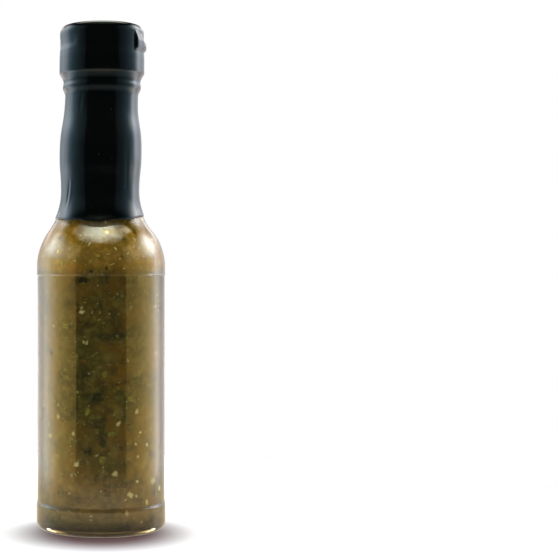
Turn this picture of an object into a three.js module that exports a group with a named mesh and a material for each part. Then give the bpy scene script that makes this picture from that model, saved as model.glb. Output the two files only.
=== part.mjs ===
// A long-necked hot sauce bottle: the glass, the sauce in it, a flip-top cap, and a shrink capsule over cap and neck.
// Millimetres, +Z up. The origin is on the axis, in the plane that the bottle stands on.
// Angles go round the axis from the front (-Y) towards the right (+X).
import * as THREE from 'three';

const sides = 48; // of every round form, so that nested walls stay evenly apart
const turn = 2 * Math.PI;

// The outside of the glass
const pushUpHeight = 1.2;
const ringInner = 17.6; // the flat ring that the bottle stands on
const ringOuter = 19.8;
const footRadius = 22.83;
const heelHeight = 3.7;
const footHeight = 8.3;
const ledgeTop = 10.0; // the foot steps in to the body here
const bodyRadius = 22.5;
const panelTop = 89.5;
const hoopRadius = 22.75; // the low hoop between the panel and the shoulder
const hoopBottom = 91.2;
const shoulderBottom = 92.2;
const shoulderBend = 20.2;
const waistRadius = 13.4; // the narrow root of the neck
const waistHeight = 118.9;
const bulgeRadius = 14.07; // the neck swells a little here
const bulgeHeight = 132.6;
const throatRadius = 12.44; // the neck's narrow top
const throatHeight = 151.8;
const beadRadius = 13.45; // the transfer bead below the cap
const beadBottom = 154.0;
const beadTop = 158.3;
const finishRadius = 11.9; // the plain mouth that the cap holds
const mouthHeight = 174.5;

// The inside of the glass
const floorHeight = 3.2;
const floorRise = 1.0; // the floor stands up in the middle, over the push-up
const cornerRadius = 3.0;
const bodyWall = 1.95;
const waistWall = 2.4;
const bulgeWall = 2.6;
const boreRadius = 9.2;
const mouthBevel = 0.6;

// The neck's root stands a little to the left of the body's axis.
const neckSway = -0.45;

// The sauce
const sauceGap = 0.25;

// The cap
const skirtBottom = 161.5;
const skirtRadius = 14.73;
const lidRadius = 14.38;
const lidSeam = 167.4;
const capTop = 176.55;
const capEdge = 1.3;
const capHollowRadius = 12.3;
const capHollowTop = 174.8;

// The thumb lip and the hinge of the cap's lid
const lipReach = 0.9;
const lipBottom = 169.4;
const lipTop = 174.1;
const lipFrom = 57;
const lipTo = 93;
const hingeDepth = 0.25;
const hingeFrom = 250;
const hingeTo = 285;
const hingeBottom = 168.7;
const hingeTop = 172.8;

// The shrink capsule
const film = 0.25;
const filmGap = 0.2;
const hemHeight = 108.0;
const hemReach = 6; // the hem's wave dies out over this height
const foldWidth = 3.2; // how far it turns in over the cap's top
const bridgeHeight = 0.7; // it bridges the corners round the thumb lip by this much, and by this many degrees
const bridgeAngle = 7;
const pleatDepth = 0.1;
const pleats = 7;

const smooth = THREE.MathUtils.smoothstep;

// Points on an arc in the outline's plane, across from the axis and up.
function arc(across, up, bend, from, to, steps) {
  return new THREE.EllipseCurve(across, up, bend, bend, from, to, to < from).getPoints(steps);
}

// A smooth change of radius that starts and ends straight up.
function swell(fromRadius, fromHeight, toRadius, toHeight, steps) {
  const middle = (fromHeight + toHeight) / 2;
  return new THREE.CubicBezierCurve(
    new THREE.Vector2(fromRadius, fromHeight),
    new THREE.Vector2(fromRadius, middle),
    new THREE.Vector2(toRadius, middle),
    new THREE.Vector2(toRadius, toHeight),
  ).getPoints(steps);
}

// A quarter of an ellipse from one point to another, leaving the first along the straight that goes across.
function round(fromRadius, fromHeight, toRadius, toHeight, steps) {
  return new THREE.QuadraticBezierCurve(
    new THREE.Vector2(fromRadius, fromHeight),
    new THREE.Vector2(toRadius, fromHeight),
    new THREE.Vector2(toRadius, toHeight),
  ).getPoints(steps);
}

function corner(radius, height) {
  return [new THREE.Vector2(radius, height)];
}

// The shoulder bends out of the body's wall and, by the hollow arc that fits, into the neck's waist.
function shoulder(wallRadius, bend, neckRadius) {
  const drop = wallRadius - neckRadius;
  const rise = waistHeight - shoulderBottom;
  const bothBends = (rise * rise + drop * drop) / (2 * drop);
  return { slope: Math.asin(rise / bothBends), hollow: bothBends - bend };
}

// The glass's radius at a height on the hollow arc, and above it the waist's.
function hollowRadius(height) {
  const { hollow } = shoulder(hoopRadius, shoulderBend, waistRadius);
  const below = Math.max(waistHeight - height, 0);
  return waistRadius + hollow - Math.sqrt(hollow * hollow - below * below);
}

function shoulderOutline(wallRadius, bend, neckRadius) {
  const { slope, hollow } = shoulder(wallRadius, bend, neckRadius);
  return [
    ...arc(wallRadius - bend, shoulderBottom, bend, 0, slope, 5),
    ...arc(neckRadius + hollow, waistHeight, hollow, Math.PI + slope, Math.PI, 4).slice(1),
  ];
}

// The neck above its waist, as a skin this far outside the glass.
function neckOutline(skin) {
  return [
    ...swell(waistRadius + skin, waistHeight, bulgeRadius + skin, bulgeHeight, 3).slice(1),
    ...swell(bulgeRadius + skin, bulgeHeight, throatRadius + skin, throatHeight, 4).slice(1),
  ];
}

function beadOutline(skin) {
  const middle = (beadBottom + beadTop) / 2;
  return [
    ...corner(throatRadius + skin, beadBottom - 0.7),
    ...corner(beadRadius + skin - 0.25, middle - 0.8),
    ...corner(beadRadius + skin, middle + 0.2),
    ...corner(beadRadius + skin - 0.1, beadTop - 0.9),
  ];
}

// The inside of the glass from the middle of the floor up to the neck's bulge, moved in by a gap.
function insideOutline(gap) {
  const wall = bodyRadius - bodyWall - gap;
  const floor = floorHeight + gap;
  return [
    ...round(0, floor, wall - cornerRadius, floor - floorRise, 2),
    ...round(wall - cornerRadius, floor - floorRise, wall, floor - floorRise + cornerRadius, 3).slice(1),
    ...shoulderOutline(wall, shoulderBend - bodyWall - gap, waistRadius - waistWall - gap),
    ...swell(waistRadius - waistWall - gap, waistHeight, bulgeRadius - bulgeWall - gap, bulgeHeight, 2).slice(1),
  ];
}

function glassOutline() {
  return [
    ...round(0, pushUpHeight, ringInner, 0, 3),
    ...round(ringOuter, 0, footRadius, heelHeight, 3),
    ...swell(footRadius, footHeight, bodyRadius, ledgeTop, 2),
    ...swell(bodyRadius, panelTop, hoopRadius, hoopBottom, 2),
    ...shoulderOutline(hoopRadius, shoulderBend, waistRadius),
    ...neckOutline(0),
    ...beadOutline(0),
    ...corner(finishRadius, beadTop),
    ...corner(finishRadius, mouthHeight - mouthBevel),
    ...corner(finishRadius - mouthBevel, mouthHeight),
    ...corner(boreRadius + mouthBevel, mouthHeight),
    ...corner(boreRadius, mouthHeight - mouthBevel),
    ...swell(boreRadius, throatHeight, bulgeRadius - bulgeWall, bulgeHeight, 2).slice(0, -1),
    ...insideOutline(0).reverse(),
  ];
}

// The sauce is filled up to the neck's bulge, out of sight under the capsule.
function sauceOutline() {
  return [...insideOutline(sauceGap), ...corner(0, bulgeHeight)];
}

// The cap's skirt and lid, as a skin this far outside them, up to the rounded top edge.
function capSideOutline(skin) {
  const edge = capEdge + skin;
  return [
    ...corner(skirtRadius + skin, skirtBottom + 1.2),
    ...corner(skirtRadius + skin, lidSeam),
    ...corner(lidRadius + skin + 0.2, lipBottom - 0.3),
    ...corner(lidRadius + skin + 0.15, (lipBottom + lipTop) / 2),
    ...corner(lidRadius + skin + 0.05, lipTop + 0.1),
    ...arc(lidRadius + skin - edge, capTop + skin - edge, edge, 0, turn / 4, 3),
  ];
}

function capOutline() {
  return [
    ...corner(0, capHollowTop),
    ...corner(capHollowRadius, capHollowTop),
    ...corner(capHollowRadius, skirtBottom),
    ...corner(skirtRadius - 0.5, skirtBottom),
    ...capSideOutline(0),
    ...corner(0, capTop),
  ];
}

// One face of the capsule, from its hem on the shoulder's hollow to its edge on top of the cap.
function capsuleFace(skin) {
  const { hollow } = shoulder(hoopRadius, shoulderBend, waistRadius);
  const hemSlope = Math.asin((waistHeight - hemHeight) / hollow);
  return [
    ...arc(waistRadius + hollow + skin, waistHeight, hollow, Math.PI + hemSlope, Math.PI, 4),
    ...neckOutline(skin),
    ...beadOutline(skin),
    ...corner(beadRadius + skin, beadTop + 0.6),
    ...corner(skirtRadius + skin - 0.3, skirtBottom - skin),
    ...capSideOutline(skin),
    ...corner(lidRadius - foldWidth, capTop + skin),
  ];
}

function capsuleOutline() {
  const outer = capsuleFace(filmGap + film);
  const inner = capsuleFace(filmGap).reverse();
  return [...outer, ...inner, outer[0].clone()];
}

// How far the neck stands aside at a height.
function sway(height) {
  return neckSway * smooth(height, 101, 107) * (1 - smooth(height, 116, 146));
}

// A raised patch between two angles in degrees and two heights, with soft edges.
function patch(angle, height, from, to, bottom, top) {
  const degrees = THREE.MathUtils.radToDeg(angle);
  const across = smooth(degrees, from - 4, from + 3) * (1 - smooth(degrees, to - 6, to + 6));
  return across * smooth(height, bottom - 0.6, bottom + 0.4) * (1 - smooth(height, top - 0.8, top + 0.6));
}

// The lid's outward form, with the thumb lip at the right made this much wider and higher, and the hinge at the left.
function lidForm(angle, height, wider, higher) {
  const lip = patch(angle, height, lipFrom - wider, lipTo + wider, lipBottom - higher, lipTop + higher);
  const hinge = patch(angle, height, hingeFrom, hingeTo, hingeBottom, hingeTop);
  return lipReach * lip - hingeDepth * hinge;
}

// The hem rises away from the front, most of all at the right.
function hemWave(angle) {
  return 1.08 - 0.45 * Math.cos(angle) + 0.4 * Math.sin(angle) - 0.63 * Math.cos(2 * angle);
}

function hemLift(angle, height) {
  return hemWave(angle) * (1 - smooth(height, hemHeight, hemHeight + hemReach));
}

// The risen hem follows the shoulder's hollow inwards.
function hemFall(angle, height) {
  return hollowRadius(height + hemLift(angle, height)) - hollowRadius(height);
}

// Soft upright pleats where the film stands off the neck's root.
function pleat(angle, height) {
  const band = smooth(height, 110, 114) * (1 - smooth(height, 118, 126));
  return pleatDepth * band * (1 + Math.cos(pleats * angle));
}

// A turned form, bulged outwards and lifted by functions of angle and height.
function turned(outline, bulge = () => 0, lift = () => 0) {
  const geometry = new THREE.LatheGeometry(outline, sides);
  geometry.rotateX(turn / 4);
  const place = geometry.getAttribute('position');
  for (let i = 0; i < place.count; i += 1) {
    const x = place.getX(i);
    const y = place.getY(i);
    const z = place.getZ(i);
    const radius = Math.hypot(x, y);
    const angle = THREE.MathUtils.euclideanModulo(Math.atan2(x, -y), turn);
    const grow = radius > 0 ? 1 + bulge(angle, z, radius) / radius : 1;
    place.setXYZ(i, x * grow + sway(z), y * grow, z + lift(angle, z));
  }
  geometry.computeVertexNormals();
  return geometry;
}

function piece(name, geometry, color, roughness, metalness = 0) {
  const mesh = new THREE.Mesh(geometry, new THREE.MeshStandardMaterial({ color, roughness, metalness }));
  mesh.name = name;
  return mesh;
}

function glassBottle() {
  return piece('glass_bottle', turned(glassOutline()), 0xdfe6dc, 0.05);
}

function sauce() {
  return piece('sauce', turned(sauceOutline()), 0x6f5e2a, 0.4);
}

function cap() {
  const onLid = (angle, height, radius) => (radius > capHollowRadius + 1 ? lidForm(angle, height, 0, 0) : 0);
  return piece('cap', turned(capOutline(), onLid), 0x14181a, 0.4);
}

function shrinkCapsule() {
  const bulge = (angle, height) => (
    lidForm(angle, height, bridgeAngle, bridgeHeight) + pleat(angle, height) + hemFall(angle, height)
  );
  return piece('shrink_capsule', turned(capsuleOutline(), bulge, hemLift), 0x101719, 0.25);
}

const bottle = new THREE.Group();
bottle.add(glassBottle(), sauce(), cap(), shrinkCapsule());

export default bottle;
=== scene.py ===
import math
import random

import bmesh
import bpy
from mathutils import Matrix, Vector, noise


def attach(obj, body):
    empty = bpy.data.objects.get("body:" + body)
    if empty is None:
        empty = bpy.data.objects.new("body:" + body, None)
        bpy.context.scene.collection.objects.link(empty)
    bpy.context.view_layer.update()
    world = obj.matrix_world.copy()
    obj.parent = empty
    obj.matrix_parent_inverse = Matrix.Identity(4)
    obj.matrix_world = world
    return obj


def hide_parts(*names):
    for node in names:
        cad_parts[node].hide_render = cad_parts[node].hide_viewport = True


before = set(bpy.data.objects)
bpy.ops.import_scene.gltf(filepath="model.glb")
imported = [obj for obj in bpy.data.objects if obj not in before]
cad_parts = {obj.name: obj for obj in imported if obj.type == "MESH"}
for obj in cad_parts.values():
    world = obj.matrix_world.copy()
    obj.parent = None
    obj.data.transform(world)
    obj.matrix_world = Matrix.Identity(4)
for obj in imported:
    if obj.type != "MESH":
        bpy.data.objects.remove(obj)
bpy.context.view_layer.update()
print("frame loaded:", sorted(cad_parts))

mm = 0.001
fullTurn = 2 * math.pi

# Sizes are in millimetres. Angles go round the axis from the front (-Y) towards the right (+X).
glass = {
    "pushUpHeight": 1.2,
    "ringInner": 17.6,
    "ringOuter": 19.8,
    "footRadius": 22.83,
    "heelHeight": 3.7,
    "footTop": 8.9,
    "stepRadius": 22.57,
    "stepBottom": 9.7,
    "ledgeTop": 10.0,
    "bodyRadius": 22.5,
    "panelTop": 89.5,
    "ridgeRadius": 22.8,
    "hoopRadius": 22.68,
    "shoulderBottom": 92.2,
    "shoulderBend": 20.2,
    "waistRadius": 13.4,
    "waistHeight": 118.9,
    "bulgeRadius": 14.07,
    "bulgeHeight": 132.6,
    "throatRadius": 12.44,
    "throatHeight": 151.8,
    "beadRadius": 13.45,
    "beadBottom": 154.0,
    "beadTop": 158.3,
    "finishRadius": 11.9,
    "mouthHeight": 174.5,
    "mouthRound": 0.6,
    "floorHeight": 3.2,
    "floorRise": 1.0,
    "cornerRadius": 3.0,
    "bodyWall": 1.95,
    "waistWall": 2.4,
    "bulgeWall": 2.6,
    "boreRadius": 9.2,
    "neckSway": -0.3,
    "capSway": 0.35,
    "waviness": 0.055,
    # where the neck and the cap start and stop leaning aside
    "neckSwayFrom": (101, 107, 116, 146),
    "capSwayFrom": (145, 158),
    "tint": (0.96, 0.985, 0.95, 1),
    "straightTint": (0.95, 0.97, 0.94, 1),
    "bend": 1.5,
    "sides": 144,
}


# Outlines are lists of (radius, height).
def arcPoints(across, up, bend, startAngle, endAngle, steps):
    turns = [startAngle + (endAngle - startAngle) * i / steps for i in range(steps + 1)]
    return [(across + bend * math.cos(a), up + bend * math.sin(a)) for a in turns]


# A smooth change of radius that starts and ends straight up.
def swellPoints(fromRadius, fromHeight, toRadius, toHeight, steps):
    points = []
    for i in range(steps + 1):
        t = i / steps
        across = t * t * (3 - 2 * t)
        up = 1.5 * t * (1 - t) + t**3
        height = fromHeight + (toHeight - fromHeight) * up
        points.append((fromRadius + (toRadius - fromRadius) * across, height))
    return points


# A quarter of a curve that leaves the first point across and reaches the second one upright.
def roundPoints(fromRadius, fromHeight, toRadius, toHeight, steps):
    points = []
    for i in range(steps + 1):
        t = i / steps
        across = 2 * t * (1 - t) + t * t
        height = fromHeight + (toHeight - fromHeight) * t * t
        points.append((fromRadius + (toRadius - fromRadius) * across, height))
    return points


# A soft curve through a few points.
def throughPoints(points, steps):
    ends = [points[0]] + points + [points[-1]]
    curve = []
    for before, start, end, after in zip(ends, ends[1:], ends[2:], ends[3:]):
        for i in range(steps):
            t = i / steps
            curve.append(tuple(
                0.5 * (
                    2 * b + (c - a) * t + (2 * a - 5 * b + 4 * c - d) * t * t
                    + (3 * b - a - 3 * c + d) * t**3
                )
                for a, b, c, d in zip(before, start, end, after)
            ))
    return curve + [points[-1]]


def straightPoints(radius, low, high, steps):
    return [(radius, low + (high - low) * i / steps) for i in range(steps + 1)]


def smoothStep(value, low, high):
    t = min(max((value - low) / (high - low), 0), 1)
    return t * t * (3 - 2 * t)


# Rises between the first two values and falls again between the last two.
def smoothBand(value, start, full, last, end):
    return smoothStep(value, start, full) * (1 - smoothStep(value, last, end))


# The two arcs of the shoulder: the slope where they meet, and the bend of the upper, hollow one.
def shoulderArcs(wallRadius, bend, neckRadius):
    drop = wallRadius - neckRadius
    rise = glass["waistHeight"] - glass["shoulderBottom"]
    bothBends = (rise * rise + drop * drop) / (2 * drop)
    return math.asin(rise / bothBends), bothBends - bend


def shoulderPoints(wallRadius, bend, neckRadius, steps):
    slope, hollow = shoulderArcs(wallRadius, bend, neckRadius)
    lower = arcPoints(wallRadius - bend, glass["shoulderBottom"], bend, 0, slope, steps)
    upper = arcPoints(neckRadius + hollow, glass["waistHeight"], hollow, math.pi + slope, math.pi, steps)
    return lower + upper[1:]


def neckPoints(skin, steps):
    waist = glass["waistRadius"] + skin
    bulge = glass["bulgeRadius"] + skin
    throat = glass["throatRadius"] + skin
    lower = swellPoints(waist, glass["waistHeight"], bulge, glass["bulgeHeight"], steps)
    upper = swellPoints(bulge, glass["bulgeHeight"], throat, glass["throatHeight"], steps)
    return lower[1:] + upper[1:]


# The inside of the glass from the middle of the floor to the neck's bulge, moved out by a reach.
def insidePoints(reach):
    wall = glass["bodyRadius"] - glass["bodyWall"] + reach
    low = glass["floorHeight"] - glass["floorRise"] - reach
    corner = glass["cornerRadius"]
    waist = glass["waistRadius"] - glass["waistWall"] + reach
    bulge = glass["bulgeRadius"] - glass["bulgeWall"] + reach
    floor = roundPoints(0, glass["floorHeight"] - reach, wall - corner, low, 8)
    turnUp = arcPoints(wall - corner, low + corner, corner, -math.pi / 2, 0, 8)
    straight = straightPoints(wall, low + corner, glass["shoulderBottom"], 12)[1:-1]
    shoulder = shoulderPoints(wall, glass["shoulderBend"] - glass["bodyWall"], waist, 14)
    neck = swellPoints(waist, glass["waistHeight"], bulge, glass["bulgeHeight"], 8)
    return floor + turnUp[1:] + straight + shoulder + neck[1:]


def swayAt(height):
    neck = glass["neckSway"] * smoothBand(height, *glass["neckSwayFrom"])
    return neck + glass["capSway"] * smoothStep(height, *glass["capSwayFrom"])


# A soft pattern round the axis, for a number of waves across and a length of wave up the bottle.
def roundNoise(angle, waves, up):
    return noise.noise(Vector((math.sin(angle) * waves, math.cos(angle) * waves, up)))


# Blown glass is never quite true: its wall stands back here and there by a few hundredths.
def wavyWall(angle, height, radius):
    share = glass["waviness"] * smoothBand(height, 2, 9, 96, 106)
    return share * (roundNoise(angle, 1.6, height / 17) - 0.5)


# A body turned round the axis from an outline that starts and ends on it, or closes on itself.
def spinBody(name, outline, sides, closes=False):
    body = bmesh.new()
    rim = [body.verts.new((0, -radius * mm, height * mm)) for radius, height in outline]
    for first, second in zip(rim, rim[1:]):
        body.edges.new((first, second))
    if closes:
        body.edges.new((rim[-1], rim[0]))
    bmesh.ops.spin(
        body, geom=body.verts[:] + body.edges[:], cent=(0, 0, 0), axis=(0, 0, 1),
        angle=fullTurn, steps=sides, use_merge=True,
    )
    bmesh.ops.remove_doubles(body, verts=body.verts, dist=0.002 * mm)
    bmesh.ops.recalc_face_normals(body, faces=body.faces)
    return finishBody(name, body)


def finishBody(name, body):
    for face in body.faces:
        face.smooth = True
    mesh = bpy.data.meshes.new(name)
    body.to_mesh(mesh)
    body.free()
    piece = bpy.data.objects.new(name, mesh)
    bpy.context.scene.collection.objects.link(piece)
    return piece


# Moves every point outwards, upwards and aside by functions of its angle, height and radius.
def reshape(piece, outward=None, upward=None):
    for vertex in piece.data.vertices:
        x, y, z = vertex.co / mm
        radius = math.hypot(x, y)
        angle = math.atan2(x, -y) % fullTurn
        grow = 1 + outward(angle, z, radius) / radius if outward and radius > 0.01 else 1
        lift = upward(angle, z, radius) if upward else 0
        vertex.co = Vector((x * grow + swayAt(z), y * grow, z + lift)) * mm


def settle(piece, node, material):
    piece.data.materials.append(material)
    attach(piece, "root")
    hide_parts(node)


# Materials. Every helper takes the node tree that it adds to.
white = (1.0, 1.0, 1.0, 1.0)


def newMaterial(name):
    material = bpy.data.materials.new(name)
    material.use_nodes = True
    tree = material.node_tree
    return material, tree, tree.nodes["Principled BSDF"]


def objectCoords(tree):
    return tree.nodes.new("ShaderNodeTexCoord").outputs["Object"]


def maths(tree, operation, *values):
    node = tree.nodes.new("ShaderNodeMath")
    node.operation = operation
    for socket, value in zip(node.inputs, values):
        if isinstance(value, (int, float)):
            socket.default_value = value
        else:
            tree.links.new(value, socket)
    return node.outputs[0]


def vectorMaths(tree, operation, *values):
    node = tree.nodes.new("ShaderNodeVectorMath")
    node.operation = operation
    for socket, value in zip(node.inputs, values):
        if isinstance(value, tuple):
            socket.default_value = value
        else:
            tree.links.new(value, socket)
    return node.outputs["Value" if operation == "LENGTH" else "Vector"]


def times(tree, first, second):
    return maths(tree, "MULTIPLY", first, second)


def timesPlus(tree, value, factor, more):
    return maths(tree, "MULTIPLY_ADD", value, factor, more)


def without(tree, share):
    return maths(tree, "SUBTRACT", 1, share)


# A soft step from 0 at the first value to 1 at the second.
def window(tree, value, low, high):
    ramp = tree.nodes.new("ShaderNodeMapRange")
    ramp.interpolation_type = "SMOOTHSTEP"
    ramp.inputs["From Min"].default_value = low
    ramp.inputs["From Max"].default_value = high
    tree.links.new(value, ramp.inputs["Value"])
    return ramp.outputs["Result"]


def angleWindow(tree, angle, low, high):
    return window(tree, angle, math.radians(low), math.radians(high))


def heightWindow(tree, low, high):
    split = tree.nodes.new("ShaderNodeSeparateXYZ")
    tree.links.new(objectCoords(tree), split.inputs[0])
    return window(tree, split.outputs["Z"], low * mm, high * mm)


def colourMaths(tree, kind, share, first, second):
    mix = tree.nodes.new("ShaderNodeMix")
    mix.data_type = "RGBA"
    mix.blend_type = kind
    mix.clamp_result = False
    for source, socket in ((share, mix.inputs["Factor"]), (first, mix.inputs[6]), (second, mix.inputs[7])):
        if isinstance(source, (int, float, tuple)):
            socket.default_value = source
        else:
            tree.links.new(source, socket)
    return mix.outputs[2]


def mixed(tree, share, first, second):
    return colourMaths(tree, "MIX", share, first, second)


def tinted(tree, first, second):
    return colourMaths(tree, "MULTIPLY", 1.0, first, second)


def mixedShaders(tree, share, first, second):
    mix = tree.nodes.new("ShaderNodeMixShader")
    for source, socket in zip((share, first, second), mix.inputs):
        tree.links.new(source, socket)
    return mix.outputs[0]


# A cloudy pattern with blobs of a size in millimetres.
def cloudyPattern(tree, place, size, detail, warp=0):
    pattern = tree.nodes.new("ShaderNodeTexNoise")
    pattern.inputs["Scale"].default_value = 1 / (size * mm)
    pattern.inputs["Detail"].default_value = detail
    pattern.inputs["Distortion"].default_value = warp
    tree.links.new(place, pattern.inputs["Vector"])
    return pattern.outputs["Fac"]


def addRelief(tree, shader, height, deep, strength):
    bump = tree.nodes.new("ShaderNodeBump")
    bump.inputs["Distance"].default_value = deep * mm
    bump.inputs["Strength"].default_value = strength
    tree.links.new(height, bump.inputs["Height"])
    tree.links.new(bump.outputs["Normal"], shader.inputs["Normal"])


def clearGlass():
    material, tree, shader = newMaterial("clearGlass")
    shader.inputs["Base Color"].default_value = glass["tint"]
    shader.inputs["Roughness"].default_value = 0.0
    shader.inputs["IOR"].default_value = glass["bend"]
    shader.inputs["Transmission Weight"].default_value = 1
    # Scattered light and shadow rays go straight through.
    rays = tree.nodes.new("ShaderNodeLightPath")
    through = tree.nodes.new("ShaderNodeBsdfTransparent")
    through.inputs["Color"].default_value = glass["straightTint"]
    straight = maths(tree, "MAXIMUM", rays.outputs["Is Shadow Ray"], rays.outputs["Is Diffuse Ray"])
    both = mixedShaders(tree, straight, shader.outputs[0], through.outputs[0])
    tree.links.new(both, tree.nodes["Material Output"].inputs["Surface"])
    return material


sauce = {
    "reach": 0.1,
    "olive": (0.073, 0.055, 0.0098, 1),
    "amber": (0.122, 0.066, 0.0096, 1),
    "pale": (0.17, 0.125, 0.029, 1),
    "dark": (0.032, 0.03, 0.009, 1),
    # clouds: size of the blobs, detail, seed, and the values where a cloud starts and is full
    "amberCloud": (16, 2, 0.3, 0.39, 0.61),
    "darkCloud": (7, 3, 1.9, 0.5, 0.68),
    "paleCloud": (5.6, 4, 3.1, 0.52, 0.74),
    "pulpCloud": (1.6, 3, 4.7, 0.48, 0.72),
    "cloudWarp": 0.4,
    "darkShare": 0.8,
    "paleShare": 0.65,
    "pulpShare": 0.4,
    # the shoulder is painted lighter and more amber for the light from above that falls on it, and is calmer
    # than the panel; the foot is painted a little paler for the light thrown up from the table
    "top": (3.2, 2.3, 1.65, 1),
    "topDetail": 0.25,
    "topFrom": (87.5, 94),
    "foot": (1.25, 1.2, 1.4, 1),
    "footFrom": (42, 18),
    "roughness": 0.03,
}


def sauceMaterial():
    material, tree, shader = newMaterial("cloudySauce")
    coords = objectCoords(tree)

    def cloud(name):
        size, detail, seed, low, high = sauce[name]
        place = tree.nodes.new("ShaderNodeMapping")
        place.inputs["Location"].default_value = (seed, seed * 0.7, seed * 1.3)
        tree.links.new(coords, place.inputs["Vector"])
        pattern = cloudyPattern(tree, place.outputs[0], size, detail, sauce["cloudWarp"])
        return window(tree, pattern, low, high)

    colour = mixed(tree, cloud("amberCloud"), sauce["olive"], sauce["amber"])
    topShare = heightWindow(tree, *sauce["topFrom"])
    darkShare = timesPlus(tree, topShare, (sauce["topDetail"] - 1) * sauce["darkShare"], sauce["darkShare"])
    colour = mixed(tree, times(tree, cloud("darkCloud"), darkShare), colour, sauce["dark"])
    for name, share in (("paleCloud", sauce["paleShare"]), ("pulpCloud", sauce["pulpShare"])):
        colour = mixed(tree, times(tree, cloud(name), share), colour, sauce["pale"])
    # Painted light: the shoulder's colour is lightened and warmed for the light from above, and the foot's is
    # paled for the light from the table.
    colour = tinted(tree, colour, mixed(tree, topShare, white, sauce["top"]))
    colour = tinted(tree, colour, mixed(tree, heightWindow(tree, *sauce["footFrom"]), white, sauce["foot"]))
    tree.links.new(colour, shader.inputs["Base Color"])
    shader.inputs["Roughness"].default_value = sauce["roughness"]
    return material


print("making the glass")


def glassOutline():
    g = glass
    pushUp = roundPoints(0, g["pushUpHeight"], g["ringInner"], 0, 10)
    heel = roundPoints(g["ringOuter"], 0, g["footRadius"], g["heelHeight"], 10)
    # Close rings beside each step keep the shading of the long faces flat.
    foot = g["footTop"] - g["heelHeight"]
    ledge = [(g["footRadius"], g["heelHeight"] + share * foot) for share in (0.15, 0.5, 0.85)]
    ledge += swellPoints(g["footRadius"], g["footTop"], g["stepRadius"], g["stepBottom"], 6)
    ledge += swellPoints(g["stepRadius"], g["stepBottom"] + 0.05, g["bodyRadius"], g["ledgeTop"], 5)
    panel = [(g["bodyRadius"], g["ledgeTop"] + rise) for rise in (0.08, 0.2)]
    panel += straightPoints(g["bodyRadius"], g["ledgeTop"] + 0.4, g["panelTop"] - 0.9, 18)
    panel += [(g["bodyRadius"], g["panelTop"] - drop) for drop in (0.7, 0.56)]
    hoop = swellPoints(g["bodyRadius"], g["panelTop"] - 0.5, g["ridgeRadius"], g["panelTop"] - 0.1, 6)
    hoop += swellPoints(g["ridgeRadius"], g["panelTop"] - 0.06, g["hoopRadius"], g["panelTop"] + 0.24, 6)
    shoulder = shoulderPoints(g["hoopRadius"], g["shoulderBend"], g["waistRadius"], 20)
    neck = neckPoints(0, 10)
    bead = swellPoints(g["throatRadius"], g["beadBottom"] - 0.7, g["beadRadius"], g["beadBottom"] + 2.2, 5)
    top = [
        (g["beadRadius"] - 0.1, g["beadTop"] - 0.6),
        (g["finishRadius"], g["beadTop"]),
        (g["finishRadius"], g["mouthHeight"] - g["mouthRound"]),
        (g["finishRadius"] - g["mouthRound"], g["mouthHeight"]),
        (g["boreRadius"] + g["mouthRound"], g["mouthHeight"]),
        (g["boreRadius"], g["mouthHeight"] - g["mouthRound"]),
    ]
    bulge = g["bulgeRadius"] - g["bulgeWall"]
    bore = swellPoints(g["boreRadius"], g["throatHeight"], bulge, g["bulgeHeight"], 8)
    outside = pushUp + heel + ledge + panel + hoop + shoulder + neck + bead + top
    return outside + bore[:-1] + insidePoints(0)[::-1]


bottleGlass = spinBody("bottleGlass", glassOutline(), glass["sides"])
reshape(bottleGlass, wavyWall)
settle(bottleGlass, "glass_bottle", clearGlass())

print("making the sauce")

sauceOutline = insidePoints(sauce["reach"]) + [(0, glass["bulgeHeight"])]
sauceFill = spinBody("sauceFill", sauceOutline, glass["sides"])
reshape(sauceFill, wavyWall)
settle(sauceFill, "sauce", sauceMaterial())

print("making the bits in the sauce")
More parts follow.
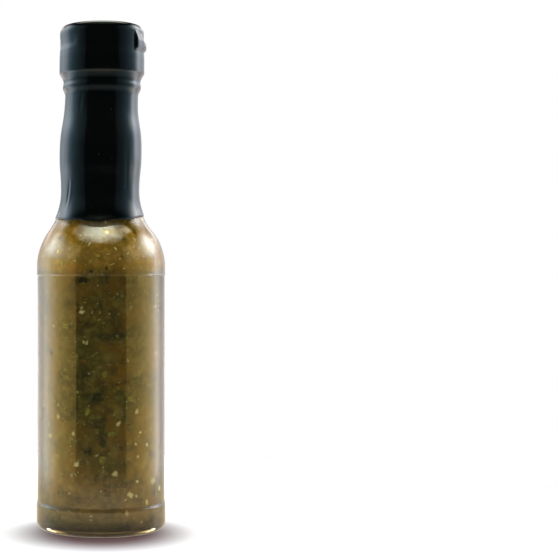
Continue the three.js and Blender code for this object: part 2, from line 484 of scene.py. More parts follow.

# The bits that show in front are placed one by one: angle, height, width, depth down the wall and turn
# in degrees. "free" more of them are strewn all round up to the height "up", with sizes between two.
# "slim" is how narrow they are, "rough" how uneven, and "proud" how far they stand out of the sauce.
# "cover" is how much of the sauce they hide, and "soft" where their edges start to fade.
bits = {
    "creamBits": {
        "placed": [
            (-18, 76.7, 2.1, 1.5, 10), (-16, 66.5, 1.1, 1.4, 20), (-13, 66.1, 0.9, 1.5, -15),
            (-22, 49.5, 0.9, 1.2, 0), (35, 42.6, 1.5, 2.2, -30), (-26, 35.3, 1.2, 1.4, 0),
            (39, 35.4, 1.3, 1.0, 20), (47, 31.0, 1.3, 1.5, 0), (36, 27.2, 1.4, 1.2, 0),
            (-23, 24.8, 2.3, 1.7, 35), (13, 21.9, 2.6, 1.8, 15), (56, 18.3, 3.2, 2.8, 0),
            (68, 15.1, 2.4, 2.2, 0), (28, 14.3, 2.7, 2.2, -20), (-28, 21.0, 1.4, 1.6, 0),
            (47, 11.3, 1.5, 2.2, 10), (-45, 97.0, 1.3, 1.2, 0), (60, 78.5, 1.4, 0.8, 0),
            (-9, 7.5, 1.0, 0.9, 0),
        ],
        "free": 46, "sizes": (0.8, 2.0), "slim": 0.75, "rough": 0.3, "proud": 0.06, "detail": 3,
        "colour": (0.42, 0.34, 0.14, 1), "rim": (0.24, 0.18, 0.055, 1), "cover": 1.0,
    },
    "greenBits": {
        "placed": [
            (-4, 63.0, 1.4, 2.4, -25), (35, 53.4, 4.0, 3.4, 0), (-8, 41.0, 2.9, 2.5, 0),
            (12, 42.1, 1.7, 2.2, -15), (-4, 36.3, 2.7, 2.8, 0), (10, 35.3, 4.8, 2.5, 8),
            (-17, 81.7, 1.2, 1.7, 30), (23, 19.5, 2.2, 2.0, 0), (-37, 6.5, 1.9, 3.1, -30),
            (-41, 15.2, 3.2, 3.4, 20), (-39, 93.4, 2.2, 2.7, 35), (-3, 95.7, 3.0, 2.0, -35),
            (41, 104.0, 2.3, 3.1, 25), (3, 55.7, 3.0, 3.0, 0),
        ],
        "free": 110, "sizes": (1.2, 4.2), "slim": 0.7, "rough": 0.22, "proud": 0.04, "detail": 3,
        "colour": (0.27, 0.215, 0.034, 1), "rim": (0.15, 0.12, 0.02, 1), "cover": 0.62,
    },
    "rustBits": {
        "placed": [
            (8, 66, 4.0, 3.2, 0), (20, 60, 3.4, 3.0, 10), (-12, 72, 3.6, 4.0, 0), (-16, 59, 3.0, 3.4, 20),
            (0, 51.4, 7, 1.0, 33),
        ],
        "free": 60, "sizes": (2.0, 5.0), "slim": 0.7, "rough": 0.25, "proud": 0.03, "detail": 3,
        "soft": 0.1, "up": 86, "colour": (0.19, 0.088, 0.016, 1), "rim": (0.17, 0.085, 0.016, 1),
        "cover": 0.45,
    },
    "deepPatches": {
        "placed": [
            (-29, 12.5, 8, 6.5, 0), (-22, 87, 7, 5, 0), (56, 27.5, 8.5, 2.6, -6), (70, 30, 5, 2.2, 50),
            (-2, 48, 9, 6, 20), (-18, 70, 6, 9, 0), (14, 72, 5, 8, 10),
        ],
        "free": 26, "sizes": (5, 11), "slim": 0.7, "rough": 0.3, "proud": 0.02, "detail": 3, "soft": 0.0,
        "up": 86, "colour": (0.055, 0.053, 0.012, 1), "rim": (0.055, 0.053, 0.012, 1), "cover": 0.4,
    },
    "skinFlecks": {
        "placed": [
            (-8, 76.1, 0.9, 1.1, 0), (15, 52.2, 3.0, 0.7, 20), (-17, 87.4, 4.3, 2.4, 5),
            (20, 95.4, 1.8, 0.5, -25), (-9, 90.4, 1.7, 1.4, 0), (-49, 101.5, 1.3, 1.4, -30),
            (5, 91.6, 1.4, 2.0, 0),
        ],
        "free": 30, "sizes": (0.5, 2.0), "slim": 0.35, "rough": 0.35, "proud": 0.03, "detail": 2, "up": 88,
        "colour": (0.068, 0.052, 0.013, 1), "rim": (0.07, 0.055, 0.014, 1), "cover": 0.75,
    },
    "fibres": {
        "placed": [
            (3, 43.1, 1.7, 0.3, 60), (25, 60.0, 1.9, 0.4, -55), (-2, 74.0, 1.6, 0.4, 40),
            (12, 81.7, 1.5, 0.3, 45), (-20, 26.1, 2.9, 0.4, 45), (23, 12.8, 2.2, 0.7, 35),
            (40, 4.5, 2.0, 0.7, 30), (19, 82.1, 1.1, 0.4, 80), (8, 58.8, 1.7, 0.3, 10),
            (10, 93.0, 2.7, 0.5, 25), (-12, 99.5, 2.2, 0.6, 60), (14, 98.0, 2.0, 0.6, -50),
            (26, 96.5, 1.8, 0.6, 40), (-30, 98.0, 2.4, 0.7, 80), (36, 101.0, 2.4, 0.7, -65),
            (2, 101.5, 1.6, 0.6, 30), (-22, 102.5, 1.8, 0.6, -40), (52, 97.5, 2.2, 0.6, 70),
        ],
        "free": 190, "sizes": (0.8, 2.4), "slim": 0.22, "rough": 0.15, "proud": 0.05, "detail": 2,
        "colour": (0.44, 0.36, 0.13, 1), "rim": (0.28, 0.22, 0.06, 1), "cover": 0.9,
    },
    "specks": {
        "placed": [],
        "free": 1100, "sizes": (0.2, 0.62), "slim": 0.6, "rough": 0.0, "proud": 0.04, "detail": 1,
        "colour": (0.5, 0.42, 0.2, 1), "rim": (0.34, 0.27, 0.1, 1), "cover": 1.0,
    },
    "ringSeeds": {
        "placed": [
            (15, 68.6, 1.3, 1.1, 0), (35, 53.4, 3.7, 3.5, 0),
        ],
        "free": 14, "sizes": (1.2, 2.6), "slim": 0.85, "rough": 0.08, "proud": 0.05, "detail": 3,
        "colour": (0.19, 0.145, 0.032, 1), "rim": (0.33, 0.27, 0.09, 1), "cover": 0.6,
    },
}

sauceWall = [point for point in insidePoints(sauce["reach"]) if point[1] > glass["floorHeight"]]


def sauceRadius(height):
    for (radius, low), (nextRadius, high) in zip(sauceWall, sauceWall[1:]):
        if low <= height <= high:
            return radius + (nextRadius - radius) * (height - low) / (high - low)
    return sauceWall[0][0] if height < sauceWall[0][1] else sauceWall[-1][0]


# Lumps: a share of the roughness, then the number of waves over a bit.
lump = {
    "coarse": (1.6, 1.3),
    "fine": (0.6, 3.5),
    "bump": (0.5, 2.2),
    "curl": 0.6,
    "sunk": 0.4,
    "deepest": 1.2,
    "lowest": 5.5,
    "highest": 112,
}


# One bit: a flattened lump that stands just proud of the sauce, with an uneven outline.
def seatBit(body, kind, layers, angle, height, wide, tall, turn):
    made = bmesh.ops.create_icosphere(body, subdivisions=kind["detail"], radius=1)
    seed = Vector([random.uniform(-50, 50) for axis in range(3)])
    bend = random.uniform(-lump["curl"], lump["curl"]) if kind["slim"] < 0.3 else 0
    tone = random.random()
    cosTurn, sinTurn = math.cos(math.radians(turn)), math.sin(math.radians(turn))
    for vertex in made["verts"]:
        across, out, up = vertex.co
        edge = min(math.hypot(across, up), 1)
        uneven = 1
        for share, waves in (lump["coarse"], lump["fine"]):
            uneven += kind["rough"] * share * noise.noise(Vector((across, 0, up)) * waves + seed)
        u = across * uneven * wide / 2
        v = up * uneven * tall / 2 + bend * wide * (across * across - 0.4)
        u, v = u * cosTurn - v * sinTurn, u * sinTurn + v * cosTurn
        share, waves = lump["bump"]
        bump = 1 + share * noise.noise(Vector((across, out, up)) * waves + seed)
        lift = out * kind["proud"] * bump
        if out <= 0:
            lift = out * min(wide, tall, lump["deepest"]) * lump["sunk"]
        radius = sauceRadius(height + v) + lift
        turned = math.radians(angle) + u / radius
        z = height + v
        x = radius * math.sin(turned) + swayAt(z)
        vertex.co = Vector((x, -radius * math.cos(turned), z)) * mm
        vertex[layers["edge"]] = edge
        vertex[layers["tone"]] = tone


bitLook = {
    "mottleSize": 0.7,
    "mottle": 0.7,
    "tone": 0.7,
    "rimFrom": (0.35, 0.95),
    # bits on the shoulder are painted lighter, like the sauce, for the light from above
    "top": (2.2, 1.9, 1.5, 1),
    # how far the gloss follows a bit's own lumps, on the panel and on the shoulder
    "ownGloss": (0.15, 1),
    "softFrom": 0.55,
    "roughness": 0.05,
}


# The look that all the bits share: a tone of their own, a mottle, a paler or darker rim, painted light on the
# shoulder and a soft edge.
def softBitLook():
    tree = bpy.data.node_groups.new("softBitLook", "ShaderNodeTree")
    for label, direction, socket in (
        ("Middle", "INPUT", "NodeSocketColor"), ("Rim", "INPUT", "NodeSocketColor"),
        ("Cover", "INPUT", "NodeSocketFloat"), ("Soft from", "INPUT", "NodeSocketFloat"),
        ("Colour", "OUTPUT", "NodeSocketColor"), ("Mask", "OUTPUT", "NodeSocketFloat"),
        ("Normal", "OUTPUT", "NodeSocketVector"),
    ):
        tree.interface.new_socket(name=label, in_out=direction, socket_type=socket)
    given = tree.nodes.new("NodeGroupInput").outputs
    result = tree.nodes.new("NodeGroupOutput").inputs

    def reading(layer):
        node = tree.nodes.new("ShaderNodeAttribute")
        node.attribute_name = layer
        return node.outputs["Fac"]

    rim = window(tree, reading("edge"), *bitLook["rimFrom"])
    colour = mixed(tree, rim, given["Middle"], given["Rim"])
    mottle = cloudyPattern(tree, objectCoords(tree), bitLook["mottleSize"], 2)
    light = timesPlus(tree, reading("tone"), bitLook["tone"], 0.95 - bitLook["tone"] / 2)
    light = times(tree, light, timesPlus(tree, mottle, bitLook["mottle"], 1 - bitLook["mottle"] / 2))
    colour = tinted(tree, colour, light)
    # Bits on the shoulder are painted lighter for the light from above, as the sauce is.
    topShare = heightWindow(tree, *sauce["topFrom"])
    tree.links.new(mixed(tree, topShare, colour, tinted(tree, colour, bitLook["top"])), result["Colour"])

    # The bits lie under the wet face of the sauce, so their gloss follows the wall more than their lumps.
    radial = vectorMaths(tree, "NORMALIZE", vectorMaths(tree, "MULTIPLY", objectCoords(tree), (1, 1, 0)))
    wall = tree.nodes.new("ShaderNodeVectorTransform")
    wall.vector_type = "NORMAL"
    wall.convert_from = "OBJECT"
    wall.convert_to = "WORLD"
    tree.links.new(radial, wall.inputs[0])
    low, high = bitLook["ownGloss"]
    lean = tree.nodes.new("ShaderNodeMix")
    lean.data_type = "VECTOR"
    tree.links.new(timesPlus(tree, topShare, high - low, low), lean.inputs["Factor"])
    tree.links.new(wall.outputs[0], lean.inputs[4])
    tree.links.new(tree.nodes.new("ShaderNodeNewGeometry").outputs["Normal"], lean.inputs[5])
    tree.links.new(vectorMaths(tree, "NORMALIZE", lean.outputs[1]), result["Normal"])

    inwards = without(tree, reading("edge"))
    soft = window(tree, maths(tree, "DIVIDE", inwards, without(tree, given["Soft from"])), 0, 1)
    tree.links.new(times(tree, soft, given["Cover"]), result["Mask"])
    return tree


softBit = softBitLook()


def bitMaterial(name, kind):
    material, tree, shader = newMaterial(name)
    look = tree.nodes.new("ShaderNodeGroup")
    look.node_tree = softBit
    look.inputs["Middle"].default_value = kind["colour"]
    look.inputs["Rim"].default_value = kind["rim"]
    look.inputs["Cover"].default_value = kind["cover"]
    look.inputs["Soft from"].default_value = kind.get("soft", bitLook["softFrom"])
    tree.links.new(look.outputs["Colour"], shader.inputs["Base Color"])
    tree.links.new(look.outputs["Normal"], shader.inputs["Normal"])
    if kind["cover"] < 1:
        tree.links.new(look.outputs["Mask"], shader.inputs["Alpha"])
    shader.inputs["Roughness"].default_value = bitLook["roughness"]
    return material


random.seed(41)
for name, kind in bits.items():
    body = bmesh.new()
    layers = {layer: body.verts.layers.float.new(layer) for layer in ("edge", "tone")}
    for place in kind["placed"]:
        seatBit(body, kind, layers, *place)
    small, large = kind["sizes"]
    for _ in range(kind["free"]):
        size = small + (large - small) * random.random() ** 2
        height = random.uniform(lump["lowest"] + size / 2, kind.get("up", lump["highest"]))
        slim = kind["slim"] * random.uniform(0.8, 1.25)
        angle = random.uniform(-180, 180)
        turn = random.uniform(-90, 90)
        seatBit(body, kind, layers, angle, height, size, size * slim, turn)
    piece = finishBody(name, body)
    settle(piece, "sauce", bitMaterial(name, kind))

print("making the cap")

cap = {
    "skirtBottom": 161.5,
    "skirtRadius": 14.55,
    "lidRadius": 14.4,
    "chamfer": (0.5, 1.3),
    # the heights between which the side narrows from the skirt to the lid
    "taper": (164.9, 169.4),
    "top": 176.55,
    "edge": (1.75, 2.8),
    "hollowRadius": 12.3,
    "hollowTop": 174.8,
    "lipReach": 0.9,
    "lipBottom": 168.8,
    "lipTop": 172.5,
    "lipSlant": 2.3,
    "lipFrom": 52,
    "lipTo": 90,
    "hingeDepth": 0.22,
    "hingeFrom": 266,
    "hingeTo": 322,
    "hingeBottom": 169.2,
    "hingeTop": 172.5,
    "colour": (0.006, 0.0075, 0.008, 1),
    "rubbed": (0.012, 0.014, 0.0145, 1),
}


def capSide(skin):
    skirt, lid = cap["skirtRadius"] + skin, cap["lidRadius"] + skin
    wide, narrow = cap["taper"]
    inward, downward = cap["edge"]
    edgeBottom = cap["top"] + skin - downward
    side = straightPoints(skirt, cap["skirtBottom"] + cap["chamfer"][1], wide, 4)[:-1]
    side += swellPoints(skirt, wide, lid, narrow, 6)
    side += straightPoints(lid, narrow, edgeBottom, 4)[1:-1]
    for i in range(13):
        turn = math.pi / 2 * i / 12
        side.append((lid - inward + inward * math.cos(turn), edgeBottom + downward * math.sin(turn)))
    return side


# 1 on a patch of the cap's side and 0 off it, with a sharp first edge and a soft last one.
def patchAt(angle, height, fromAngle, toAngle, bottom, top):
    across = smoothBand(math.degrees(angle), fromAngle - 1.3, fromAngle + 1.3, toAngle - 6, toAngle + 6)
    return across * smoothBand(height, bottom - 0.5, bottom + 0.3, top - 0.3, top + 0.4)


# The thumb lip stands proud at the right, with a slanted top. The hinge is a shallow dent at the left.
def lidForm(angle, height, wider, higher):
    slant = cap["lipSlant"] * smoothStep(math.degrees(angle), cap["lipFrom"], cap["lipTo"])
    lip = patchAt(
        angle, height, cap["lipFrom"] - wider, cap["lipTo"] + wider,
        cap["lipBottom"] - higher, cap["lipTop"] + higher - slant,
    )
    hinge = patchAt(angle, height, cap["hingeFrom"], cap["hingeTo"], cap["hingeBottom"], cap["hingeTop"])
    return cap["lipReach"] * lip - cap["hingeDepth"] * hinge


def capMaterial():
    material, tree, shader = newMaterial("capPlastic")
    coords = objectCoords(tree)
    share = window(tree, cloudyPattern(tree, coords, 3, 5), 0.3, 0.75)
    tree.links.new(mixed(tree, share, cap["colour"], cap["rubbed"]), shader.inputs["Base Color"])
    tree.links.new(timesPlus(tree, share, 0.15, 0.3), shader.inputs["Roughness"])
    addRelief(tree, shader, cloudyPattern(tree, coords, 0.18, 2), 0.01, 0.6)
    return material


capOutline = [
    (0, cap["hollowTop"]), (cap["hollowRadius"], cap["hollowTop"]), (cap["hollowRadius"], cap["skirtBottom"]),
    (cap["skirtRadius"] - cap["chamfer"][0], cap["skirtBottom"]),
]
flipCap = spinBody("flipCap", capOutline + capSide(0) + [(0, cap["top"])], 96)
reshape(flipCap, lambda angle, z, radius: lidForm(angle, z, 0, 0) if radius > cap["hollowRadius"] + 1 else 0)
settle(flipCap, "cap", capMaterial())

print("making the capsule")

capsule = {
    "gap": 0.35,
    "film": 0.1,
    "hemHeight": 108.0,
    "hemReach": 6,
    "fold": 3.2,
    "bridgeHeight": 0.5,
    "bridgeAngle": 1.5,
    "hemDrop": 0.35,
    "hemLumps": 0.3,
    "ripple": 0.07,
    "ruffle": 0.7,
    # the film from the throat over the bead to the skirt: the radius under it and the height
    "drape": [
        (12.5, 153.0), (12.8, 153.8), (13.2, 154.6), (13.36, 155.3), (13.3, 156.0), (13.18, 156.7),
        (13.16, 157.4), (13.35, 158.2), (13.75, 159.0), (14.0, 159.45), (14.2, 159.75),
    ],
    # soft creases: angle in degrees, middle height, half length, half width in degrees, depth and lean
    "creases": [
        (-53, 117, 6, 2.2, 0.16, 0.5), (62, 112, 4, 2.5, 0.14, -0.6), (-70, 111.5, 3.5, 2.5, 0.12, 0.4),
        (40, 126, 9, 2.5, 0.05, -0.2), (-33, 149, 4, 2.5, 0.07, 0.3), (75, 150, 4, 3, 0.08, 0.2),
        (120, 115, 6, 3, 0.14, 0.5), (160, 112, 4, 2.5, 0.15, -0.5), (-150, 116, 6, 3, 0.15, 0.3),
        (-115, 112, 4, 3, 0.13, -0.4), (-170, 149, 4, 3, 0.08, 0.2), (140, 135, 8, 3, 0.05, 0.2),
    ],
    "colour": (0.0008, 0.0013, 0.0015, 1),
    "dust": (0.05, 0.055, 0.055, 1),
    "sides": 240,
}


def capsuleFace(skin):
    _, hollow = shoulderArcs(glass["hoopRadius"], glass["shoulderBend"], glass["waistRadius"])
    hemSlope = math.asin((glass["waistHeight"] - capsule["hemHeight"]) / hollow)
    hem = arcPoints(
        glass["waistRadius"] + hollow + skin, glass["waistHeight"], hollow, math.pi + hemSlope, math.pi, 14,
    )
    skirt = cap["skirtRadius"] + skin
    drape = [(glass["throatRadius"] + skin, glass["throatHeight"])]
    drape += [(radius + skin, height) for radius, height in capsule["drape"]]
    drape = throughPoints(drape + [(skirt - 0.08, 160.15), (skirt, 160.6)], 3)
    inside = cap["lidRadius"] - capsule["fold"]
    rim = [(inside + 1.3 * share, cap["top"] + skin) for share in (1, 0.75, 0.5, 0.25, 0)]
    return hem + neckPoints(skin, 14) + drape[1:] + capSide(skin) + rim


def hollowRadius(height):
    _, hollow = shoulderArcs(glass["hoopRadius"], glass["shoulderBend"], glass["waistRadius"])
    below = max(glass["waistHeight"] - height, 0)
    return glass["waistRadius"] + hollow - math.sqrt(hollow * hollow - below * below)


def hemLift(angle, height):
    wave = 1.08 - 0.45 * math.cos(angle) + 0.4 * math.sin(angle) - 0.63 * math.cos(2 * angle)
    aside = math.degrees(math.remainder(angle, fullTurn))
    wave -= capsule["hemDrop"] * math.exp(-(((aside + 6) / 15) ** 2))
    wave += capsule["hemLumps"] * noise.noise(Vector((math.sin(angle), math.cos(angle), 0.3)) * 3.2)
    return wave * (1 - smoothStep(height, capsule["hemHeight"], capsule["hemHeight"] + capsule["hemReach"]))


# Soft creases and a slight ripple where the film shrank unevenly.
def filmRipple(angle, height):
    change = capsule["ripple"] * (roundNoise(angle, 1.9, height / 13) + 0.1)
    for middle, level, reach, wide, deep, lean in capsule["creases"]:
        aside = math.degrees(math.remainder(angle - math.radians(middle), fullTurn)) - lean * (height - level)
        fade = 1 - min(abs(height - level) / reach, 1) ** 2
        if fade > 0 and abs(aside) < 4 * wide:
            valley = math.exp(-((aside / wide) ** 2))
            ridge = math.exp(-(((aside - 2 * wide) / wide) ** 2))
            change -= deep * fade * (valley - 0.5 * ridge)
    return change * smoothBand(height, 108, 111, 163, 165)


# How far a point on top lies in from the rim: 0 at the rim and 1 at the film's edge.
def rimShare(height, radius):
    if height <= cap["top"]:
        return 0
    return smoothStep(radius, cap["lidRadius"] - 0.9, cap["lidRadius"] - capsule["fold"])


def capsuleForm(angle, height, radius):
    share = rimShare(height, radius)
    if share > 0:
        return capsule["ruffle"] * share * roundNoise(angle, 5, 2.7)
    hemFall = hollowRadius(height + hemLift(angle, height)) - hollowRadius(height)
    ripple = max(filmRipple(angle, height), -0.22)
    return lidForm(angle, height, capsule["bridgeAngle"], capsule["bridgeHeight"]) + hemFall + ripple


def capsuleLift(angle, height, radius):
    share = rimShare(height, radius)
    if share > 0:
        return -0.14 * share * abs(roundNoise(angle, 7, 8.1))
    return hemLift(angle, height)


def capsuleMaterial():
    material, tree, shader = newMaterial("capsuleFilm")
    coords = objectCoords(tree)
    smudged = window(tree, cloudyPattern(tree, coords, 7, 5), 0.35, 0.7)
    tree.links.new(timesPlus(tree, smudged, 0.07, 0.06), shader.inputs["Roughness"])
    dust = tree.nodes.new("ShaderNodeTexVoronoi")
    dust.inputs["Scale"].default_value = 1 / (2.6 * mm)
    tree.links.new(coords, dust.inputs["Vector"])
    dusty = window(tree, dust.outputs["Distance"], 0.065, 0.035)
    tree.links.new(mixed(tree, dusty, capsule["colour"], capsule["dust"]), shader.inputs["Base Color"])
    # Faint lines along the bottle, where the film was pulled as it shrank.
    drawn = tree.nodes.new("ShaderNodeMapping")
    drawn.inputs["Scale"].default_value = (1, 1, 0.3)
    tree.links.new(coords, drawn.inputs["Vector"])
    addRelief(tree, shader, cloudyPattern(tree, drawn.outputs[0], 1.6, 3), 0.03, 0.35)
    shader.inputs["Specular IOR Level"].default_value = 0.43
    return material


outer = capsuleFace(capsule["gap"] + capsule["film"])
inner = capsuleFace(capsule["gap"])
shrinkCapsule = spinBody("shrinkCapsule", outer + inner[::-1], capsule["sides"], closes=True)
reshape(shrinkCapsule, capsuleForm, capsuleLift)
settle(shrinkCapsule, "shrink_capsule", capsuleMaterial())

print("setting the stage")

studio = {
    # light round the horizon, from the front: angle in degrees, then red, green and blue
    "leftCard": [
        (44, 0.03, 0.035, 0.035), (48, 0.12, 0.17, 0.18), (64, 0.18, 0.3, 0.32), (76, 0.28, 0.45, 0.52),
        (88, 0.55, 0.82, 1.0), (100, 1.5, 2.0, 2.35), (115, 2.8, 3.2, 3.6), (124, 2.3, 2.6, 2.8),
        (131, 1.75, 1.8, 1.9), (145, 1.7, 1.55, 1.5),
    ],
    "rightCard": [
        (44, 0.03, 0.035, 0.035), (48, 0.11, 0.14, 0.15), (64, 0.16, 0.22, 0.26), (76, 0.24, 0.37, 0.45),
        (88, 0.5, 0.75, 0.85), (97, 1.5, 1.8, 1.85), (108, 3.7, 3.9, 3.9), (118, 5.4, 5.6, 5.9),
        (126, 4.5, 4.6, 4.9), (134, 2.8, 2.6, 2.7), (145, 2.2, 2.1, 2.1),
    ],
    "backCard": (180, 1.25, 1.2, 1.15),
    # what stands a little above the bottle's middle, mirrored by the neck and the cap
    "leftUpper": [
        (44, 0.03, 0.035, 0.035), (48, 0.1, 0.14, 0.15), (60, 0.15, 0.26, 0.28), (74, 0.28, 0.5, 0.56),
        (86, 0.45, 0.75, 0.95), (98, 0.85, 1.25, 1.6), (112, 2.0, 2.4, 2.75), (130, 1.7, 2.0, 2.15),
        (142, 1.0, 1.15, 1.25), (157, 0.6, 0.67, 0.74),
    ],
    "rightUpper": [
        (44, 0.03, 0.035, 0.035), (48, 0.09, 0.12, 0.14), (64, 0.16, 0.24, 0.29), (80, 0.3, 0.5, 0.6),
        (90, 0.45, 0.7, 0.85), (100, 0.9, 1.2, 1.45), (108, 2.2, 2.6, 2.95), (116, 3.6, 4.0, 4.4),
        (126, 2.5, 2.75, 3.0), (140, 1.3, 1.4, 1.5), (157, 1.0, 1.05, 1.1),
    ],
    "backUpper": (180, 0.5, 0.52, 0.55),
    "upperBand": (-3, 3, 12, 22),
    "cardTop": (26, 46),
    # how much brighter the cards are above an angle, then where film or glass mirrors them, and behind
    "hotTop": (8, 18, 2.3, 0.3),
    "hotBehind": 0.35,
    # what the film and the outer wall mirror from below: at a slant, then steeply, in front
    "lowFront": (0.06, 0.075, 0.075, 1),
    "under": (0.17, 0.24, 0.25, 1),
    "underFrom": (-4, -8),
    "underSteep": (-12, -38),
    "underAside": (100, 70),
    "backFrom": (125, 155),
    "backTop": (14, 28, 0.9),
    # the warm glow of the cards that the wet sauce mirrors: angle, then strength
    "glowTint": (1.0, 0.6, 0.1),
    "leftGlow": [
        (48, 0), (49, 1.8), (64, 2.5), (88, 4.8), (100, 6.2), (115, 6), (130, 4.6), (148, 1.2), (158, 0),
    ],
    "rightGlow": [
        (48, 0), (49, 1.5), (64, 1.9), (88, 4), (100, 5.2), (115, 4.6), (130, 4.4), (148, 1.2), (158, 0),
    ],
    "glowTop": (25, 50),
    "glowFoot": (-12, -19),
    "rightFoot": (4, -1, 0.36),
    "rightFootAt": (80, 105),
    # the dim olive seen through the clear base: painted shade
    "throughBase": (0.045, 0.034, 0.012, 1),
    "topWidth": (0.7, 0.76),
    "topCorners": (0.55, 0.92, 0.98),
    "topPower": (0.9, 8.5),
    "topTint": (1.0, 0.97, 0.8),
    "mirrorTint": (0.93, 1.0, 0.84),
    "topFront": 0.22,
    # mirrored: how much wider and shorter the box looks, what it loses in front, and what the sauce adds
    "mirroredSize": (0.05, -0.12),
    "frontLoss": 0.9,
    "sauceGain": 0.7,
}


# A ramp over the whole round, from the back over the left, the front and the right to the back.
def roundRamp(tree, share, left, right, strength):
    ramp = tree.nodes.new("ShaderNodeValToRGB")
    tree.links.new(share, ramp.inputs[0])
    stops = [(0.5 - angle / 360, colour) for angle, colour in left[::-1]]
    stops += [(0.5 + angle / 360, colour) for angle, colour in right]
    while len(ramp.color_ramp.elements) > 1:
        ramp.color_ramp.elements.remove(ramp.color_ramp.elements[0])
    ramp.color_ramp.elements[0].position = stops[0][0]
    for position, _ in stops[1:]:
        ramp.color_ramp.elements.new(position)
    for element, (_, colour) in zip(ramp.color_ramp.elements, stops):
        element.color = tuple(part / strength for part in colour) + (1,)
    return ramp.outputs["Color"]


def studioWorld():
    world = bpy.data.worlds.new("studio")
    bpy.context.scene.world = world
    world.use_nodes = True
    tree = world.node_tree
    tree.nodes.clear()
    split = tree.nodes.new("ShaderNodeSeparateXYZ")
    tree.links.new(tree.nodes.new("ShaderNodeTexCoord").outputs["Generated"], split.inputs[0])
    east, north, height = split.outputs
    azimuth = maths(tree, "ARCTAN2", east, times(tree, north, -1))
    share = timesPlus(tree, azimuth, 1 / fullTurn, 0.5)
    elevation = maths(tree, "ARCSINE", height)

    strongest = 8
    layers = []
    for level in ("Card", "Upper"):
        left, right = (
            [(stop[0], stop[1:]) for stop in studio[side + level] + [studio["back" + level]]]
            for side in ("left", "right")
        )
        layers.append(roundRamp(tree, share, left, right, strongest))
    start, full, last, end = studio["upperBand"]
    band = angleWindow(tree, elevation, start, full)
    band = times(tree, band, angleWindow(tree, elevation, end, last))
    cards = mixed(tree, band, *layers)
    cardShare = times(tree, angleWindow(tree, elevation, *studio["cardTop"][::-1]), strongest)
    # Three kinds of rays: scattered ones, ones mirrored by film or glass, and ones mirrored by the wet sauce.
    rays = tree.nodes.new("ShaderNodeLightPath")
    mirrored = maths(tree, "GREATER_THAN", rays.outputs["Glossy Depth"], 0.5)
    throughGlass = maths(tree, "GREATER_THAN", rays.outputs["Transmission Depth"], 0.5)
    fromSauce = times(tree, mirrored, throughGlass)
    fromOuter = maths(tree, "SUBTRACT", mirrored, fromSauce)
    low, high, more, outerMore = studio["hotTop"]
    hot = angleWindow(tree, elevation, low, high)
    around = maths(tree, "ABSOLUTE", azimuth)
    behind = angleWindow(tree, around, *studio["backFrom"])
    less = times(tree, fromOuter, timesPlus(tree, behind, -studio["hotBehind"], 1))
    hot = times(tree, hot, timesPlus(tree, less, outerMore - more, more))
    hot = times(tree, hot, without(tree, times(tree, behind, fromSauce)))
    hot = maths(tree, "ADD", hot, without(tree, fromSauce))
    cardShare = times(tree, cardShare, hot)
    low, high, less = studio["backTop"]
    dark = angleWindow(tree, elevation, low, high)
    dark = times(tree, times(tree, dark, behind), -less)
    cardShare = times(tree, cardShare, maths(tree, "ADD", dark, 1))
    low, high, less = studio["rightFoot"]
    dim = angleWindow(tree, elevation, low, high)
    dim = times(tree, dim, angleWindow(tree, azimuth, *studio["rightFootAt"]))
    cardShare = times(tree, cardShare, timesPlus(tree, dim, -less, 1))
    cards = tinted(tree, cards, cardShare)
    steep = angleWindow(tree, elevation, *studio["underSteep"])
    under = mixed(tree, steep, studio["lowFront"], studio["under"])
    underShare = angleWindow(tree, elevation, *studio["underFrom"])
    underShare = times(tree, underShare, angleWindow(tree, around, *studio["underAside"]))
    underShare = times(tree, underShare, fromOuter)
    cards = colourMaths(tree, "ADD", underShare, cards, under)

    # The box overhead has six sides and is brightest in the middle.
    up = maths(tree, "MAXIMUM", height, 0.001)
    acrossBox, alongBox = (maths(tree, "ABSOLUTE", maths(tree, "DIVIDE", side, up)) for side in (east, north))
    wider, longer = studio["mirroredSize"]
    acrossBox = times(tree, acrossBox, timesPlus(tree, mirrored, wider, 1))
    alongBox = times(tree, alongBox, timesPlus(tree, mirrored, longer, 1))
    inner, outer = studio["topWidth"]
    slant, innerCorner, outerCorner = studio["topCorners"]
    corner = timesPlus(tree, alongBox, slant, acrossBox)
    above = times(
        tree,
        window(tree, maths(tree, "MAXIMUM", acrossBox, alongBox), outer, inner),
        window(tree, corner, outerCorner, innerCorner),
    )
    middle = maths(tree, "ADD", acrossBox, times(tree, alongBox, 0.6))
    rimPower, middlePower = studio["topPower"]
    power = timesPlus(tree, window(tree, middle, 0.95, 0.15), middlePower - rimPower, rimPower)
    # Mirrored, the box is brightest a little in front of the middle.
    aside = maths(tree, "ABSOLUTE", maths(tree, "SUBTRACT", alongBox, studio["topFront"]))
    middle = timesPlus(tree, aside, 1.3, acrossBox)
    frontPower = timesPlus(tree, window(tree, middle, 0.95, 0.0), middlePower - rimPower, rimPower)
    notMirrored = without(tree, mirrored)
    power = maths(tree, "ADD", times(tree, power, notMirrored), times(tree, frontPower, mirrored))
    above = times(tree, above, power)
    tint = mixed(tree, mirrored, studio["topTint"] + (1,), studio["mirrorTint"] + (1,))
    # The film and the glass hardly mirror the half of the box in front; the wet sauce mirrors it all.
    inFront = times(tree, maths(tree, "LESS_THAN", north, 0), fromOuter)
    seen = timesPlus(tree, inFront, -studio["frontLoss"], timesPlus(tree, fromSauce, studio["sauceGain"], 1))
    above = tinted(tree, tint, times(tree, above, seen))
    lamps = colourMaths(tree, "ADD", 1.0, cards, above)

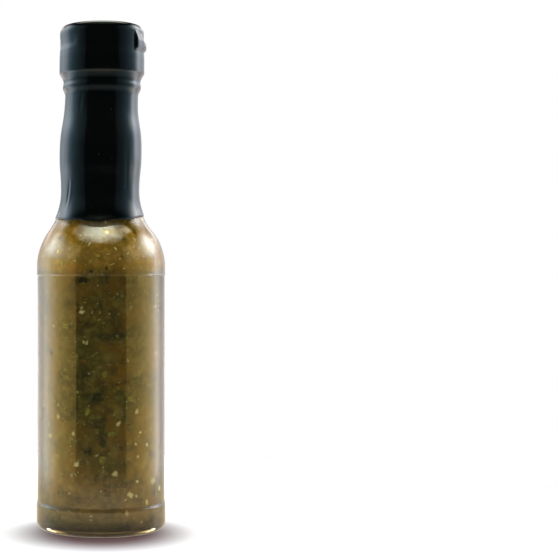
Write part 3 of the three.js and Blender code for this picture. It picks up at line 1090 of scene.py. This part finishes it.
    left, right = (
        [(angle, (level,) * 3) for angle, level in studio[side + "Glow"] + [(180, 0)]]
        for side in ("left", "right")
    )
    glow = roundRamp(tree, share, left, right, strongest)
    glowShare = times(tree, angleWindow(tree, elevation, *studio["glowTop"][::-1]), strongest)
    glowShare = times(tree, glowShare, angleWindow(tree, elevation, *studio["glowFoot"][::-1]))
    glowShare = times(tree, glowShare, fromSauce)
    glow = tinted(tree, glow, glowShare)
    glow = tinted(tree, glow, studio["glowTint"] + (1,))
    lamps = colourMaths(tree, "ADD", 1.0, lamps, glow)

    # The camera sees a plain white backdrop; through the clear base it sees a dim olive one, which is painted
    # shade for the dark base.
    notScattered = maths(tree, "LESS_THAN", rays.outputs["Diffuse Depth"], 0.5)
    throughBase = times(tree, times(tree, throughGlass, notMirrored), notScattered)
    lamps = mixed(tree, throughBase, lamps, studio["throughBase"])
    lamps = mixed(tree, rays.outputs["Is Camera Ray"], lamps, white)
    backdrop = tree.nodes.new("ShaderNodeBackground")
    tree.links.new(lamps, backdrop.inputs["Color"])
    tree.links.new(backdrop.outputs[0], tree.nodes.new("ShaderNodeOutputWorld").inputs["Surface"])


studioWorld()

tableDisc = {
    "radius": 0.21,
    "depth": 0.02,
    "colour": (0.475, 0.475, 0.535, 1),
    # the soft contact shadow painted on the table: its colour, its middle, its reach across and along, and
    # where it is full and ends
    "shadowTint": (0.155, 0.095, 0.095, 1),
    "shadowMiddle": (0.0005, -0.0112),
    "shadowReach": (0.0274, 0.0315),
    "shadowFade": (0.47, 1.37),
    # what mirrored rays see of the table is a painted glow: its share of the painted shadow, its colours, and
    # where it fades
    "mirroredShade": 0.3,
    "mirrored": (1.9, 1.2, 0.5, 1),
    "mirroredFrom": (0.026, 0.05),
    "mirroredLeast": 0.04,
    "mirroredOutside": (1.05, 0.9, 0.62, 1),
    "mirrorShare": 0.85,
    "mirrorFade": (0.08, 0.2),
}


def paleFloor():
    material, tree, shader = newMaterial("paleFloor")
    shader.inputs["Roughness"].default_value = 1
    shader.inputs["Specular IOR Level"].default_value = 0
    # The contact shadow is painted into the table's colour, in an ellipse a little in front of the bottle.
    across, along = tableDisc["shadowReach"]
    middleX, middleY = tableDisc["shadowMiddle"]
    scale, shift = (1 / across, 1 / along, 0), (-middleX / across, -middleY / along, 0)
    moved = vectorMaths(tree, "MULTIPLY_ADD", objectCoords(tree), scale, shift)
    shadowShare = window(tree, vectorMaths(tree, "LENGTH", moved), *tableDisc["shadowFade"][::-1])
    shadow = mixed(tree, shadowShare, white, tableDisc["shadowTint"])
    tree.links.new(tinted(tree, shadow, tableDisc["colour"]), shader.inputs["Base Color"])
    # In reflections the table is a painted glow, an emission rather than lit paint: it is dark close under the
    # bottle, darkened by the painted shadow, and fades into the cards a short way from it.
    away = vectorMaths(tree, "LENGTH", objectCoords(tree))
    rays = tree.nodes.new("ShaderNodeLightPath")
    throughGlass = maths(tree, "GREATER_THAN", rays.outputs["Transmission Depth"], 0.5)
    least = tableDisc["mirroredLeast"]
    lit = timesPlus(tree, window(tree, away, *tableDisc["mirroredFrom"]), 1 - least, least)
    inner = tinted(tree, tableDisc["mirrored"], lit)
    shine = mixed(tree, throughGlass, tableDisc["mirroredOutside"], inner)
    shade = times(tree, shadowShare, tableDisc["mirroredShade"])
    shade = mixed(tree, shade, white, tableDisc["shadowTint"])
    mirrored = tree.nodes.new("ShaderNodeEmission")
    tree.links.new(tinted(tree, shade, shine), mirrored.inputs["Color"])
    beyond = tree.nodes.new("ShaderNodeBsdfTransparent")
    nearShare = window(tree, away, *tableDisc["mirrorFade"][::-1])
    nearShare = times(tree, nearShare, tableDisc["mirrorShare"])
    near = mixedShaders(tree, nearShare, beyond.outputs[0], mirrored.outputs[0])
    isMirrored = maths(tree, "GREATER_THAN", rays.outputs["Glossy Depth"], 0.5)
    both = mixedShaders(tree, isMirrored, shader.outputs[0], near)
    tree.links.new(both, tree.nodes["Material Output"].inputs["Surface"])
    return material


table = bmesh.new()
bmesh.ops.create_circle(table, cap_ends=True, segments=128, radius=tableDisc["radius"])
bmesh.ops.translate(table, verts=table.verts, vec=(0, 0, -tableDisc["depth"] * mm))
floor = finishBody("floor", table)
floor.data.materials.append(paleFloor())

picture = {
    "width": 558, "axisX": 101.0, "pixelsPerMetre": 2826,
    "distance": 0.5, "eyeHeight": 0.0879, "sensor": 36,
}
cameraData = bpy.data.cameras.new("camera")
cameraData.sensor_width = picture["sensor"]
cameraData.lens = picture["sensor"] * picture["pixelsPerMetre"] * picture["distance"] / picture["width"]
cameraData.shift_x = 0.5 - picture["axisX"] / picture["width"]
camera = bpy.data.objects.new("camera", cameraData)
camera.location = (0, -picture["distance"], picture["eyeHeight"])
camera.rotation_euler = (math.pi / 2, 0, 0)
bpy.context.scene.collection.objects.link(camera)
bpy.context.scene.camera = camera
bpy.context.scene.view_settings.view_transform = "Standard"
